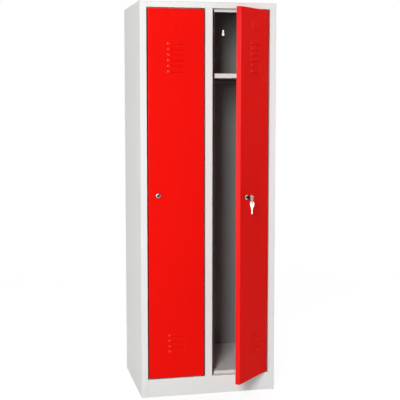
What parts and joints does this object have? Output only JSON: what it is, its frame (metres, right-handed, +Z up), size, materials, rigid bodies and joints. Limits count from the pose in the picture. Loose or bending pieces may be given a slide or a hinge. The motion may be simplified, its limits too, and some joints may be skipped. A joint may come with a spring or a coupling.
{
  "type": "clothes locker",
  "caption": "Tall sheet steel clothes locker with side by side louvred doors, cylinder locks, a hat shelf and a coat rail behind each door, on a plinth base.",
  "frame": {"origin": "on the floor under the middle of the cabinet, on the underside of the plinth beam", "axes": "+X to the viewer's right across the front, -Y out of the front towards the viewer, +Z up"},
  "size_m": [0.63, 0.6784, 1.8],
  "materials": {
    "body_paint": "light grey powder coat on sheet steel",
    "door_paint": "bright red powder coat on sheet steel",
    "chrome_plate": "polished chrome plate",
    "zinc_plate": "bright zinc plate",
    "nickel_plate": "bright nickel plate",
    "bush_nylon": "natural nylon",
    "buffer_rubber": "matt black rubber strip"
  },
  "bodies": {
    "cabinet": {"left_side_panel": "body_paint", "right_side_panel": "body_paint", "centre_post": "body_paint", "left_door_stop": "body_paint", "right_door_stop": "body_paint", "left_door_buffer": "buffer_rubber", "right_door_buffer": "buffer_rubber", "top_rail": "body_paint", "plinth_rail": "body_paint", "top_panel": "body_paint", "back_panel": "body_paint", "floor_panel": "body_paint", "plinth_beam": "body_paint", "centre_partition": "body_paint", "left_hat_shelf": "body_paint", "right_hat_shelf": "body_paint", "left_shelf_bearer_a": "body_paint", "left_shelf_bearer_b": "body_paint", "right_shelf_bearer_a": "body_paint", "right_shelf_bearer_b": "body_paint", "left_coat_rail": "chrome_plate", "right_coat_rail": "chrome_plate", "left_rail_socket_a": "zinc_plate", "left_rail_socket_b": "zinc_plate", "right_rail_socket_a": "zinc_plate", "right_rail_socket_b": "zinc_plate", "left_upper_hinge_pin": "zinc_plate", "left_lower_hinge_pin": "zinc_plate", "right_upper_hinge_pin": "zinc_plate", "right_lower_hinge_pin": "zinc_plate"},
    "left_door": {"left_door_panel": "door_paint", "left_door_stiffener": "door_paint", "left_upper_hinge_bush": "bush_nylon", "left_lower_hinge_bush": "bush_nylon", "left_lock_housing": "chrome_plate", "left_lock_nut": "zinc_plate"},
    "left_lock": {"left_lock_plug": "chrome_plate", "left_lock_cam": "zinc_plate", "left_cam_screw": "zinc_plate"},
    "right_door": {"right_door_panel": "door_paint", "right_door_stiffener": "door_paint", "right_upper_hinge_bush": "bush_nylon", "right_lower_hinge_bush": "bush_nylon", "right_lock_housing": "chrome_plate", "right_lock_nut": "zinc_plate"},
    "right_lock": {"right_lock_plug": "chrome_plate", "right_lock_cam": "zinc_plate", "right_cam_screw": "zinc_plate", "door_key": "nickel_plate"},
    "ring": {"key_ring": "nickel_plate"},
    "hanging_key": {"spare_key": "nickel_plate"},
    "left_hook_a": {"left_coat_hook_a": "zinc_plate"},
    "left_hook_b": {"left_coat_hook_b": "zinc_plate"},
    "right_hook_a": {"right_coat_hook_a": "zinc_plate"},
    "right_hook_b": {"right_coat_hook_b": "zinc_plate"}
  },
  "joints": [
    {"name": "left_door_swing", "type": "hinge", "parent": "cabinet", "child": "left_door", "pos_m": [-0.0285, -0.244, 0], "axis": [0, 0, 1], "range_deg": [0, 110]},
    {"name": "right_door_swing", "type": "hinge", "parent": "cabinet", "child": "right_door", "pos_m": [0.273, -0.244, 0], "axis": [0, 0, 1], "range_deg": [-45.5, 64.5]},
    {"name": "left_lock_turn", "type": "hinge", "parent": "left_door", "child": "left_lock", "pos_m": [-0.235, -0.25, 0.931], "axis": [0, -1, 0], "range_deg": [0, 90]},
    {"name": "right_lock_turn", "type": "hinge", "parent": "right_door", "child": "right_lock", "pos_m": [0.13254, -0.39549, 0.931], "axis": [0.7133, -0.7009, 0], "range_deg": [0, 90]},
    {"name": "key_ring_swing", "type": "hinge", "parent": "right_lock", "child": "ring", "pos_m": [0.15672, -0.41925, 0.9286], "axis": [0.7009, 0.7133, 0], "range_deg": [-45, 14]},
    {"name": "spare_key_swing", "type": "hinge", "parent": "ring", "child": "hanging_key", "pos_m": [0.15672, -0.41925, 0.9096], "axis": [0.7009, 0.7133, 0], "range_deg": [-40, 10]},
    {"name": "left_hook_a_slide", "type": "slide", "parent": "cabinet", "child": "left_hook_a", "axis": [1, 0, 0], "range_m": [-0.05, 0.08]},
    {"name": "left_hook_b_slide", "type": "slide", "parent": "cabinet", "child": "left_hook_b", "axis": [1, 0, 0], "range_m": [-0.08, 0.064]},
    {"name": "right_hook_a_slide", "type": "slide", "parent": "cabinet", "child": "right_hook_a", "axis": [1, 0, 0], "range_m": [-0.05, 0.08]},
    {"name": "right_hook_b_slide", "type": "slide", "parent": "cabinet", "child": "right_hook_b", "axis": [1, 0, 0], "range_m": [-0.08, 0.064]}
  ]
}
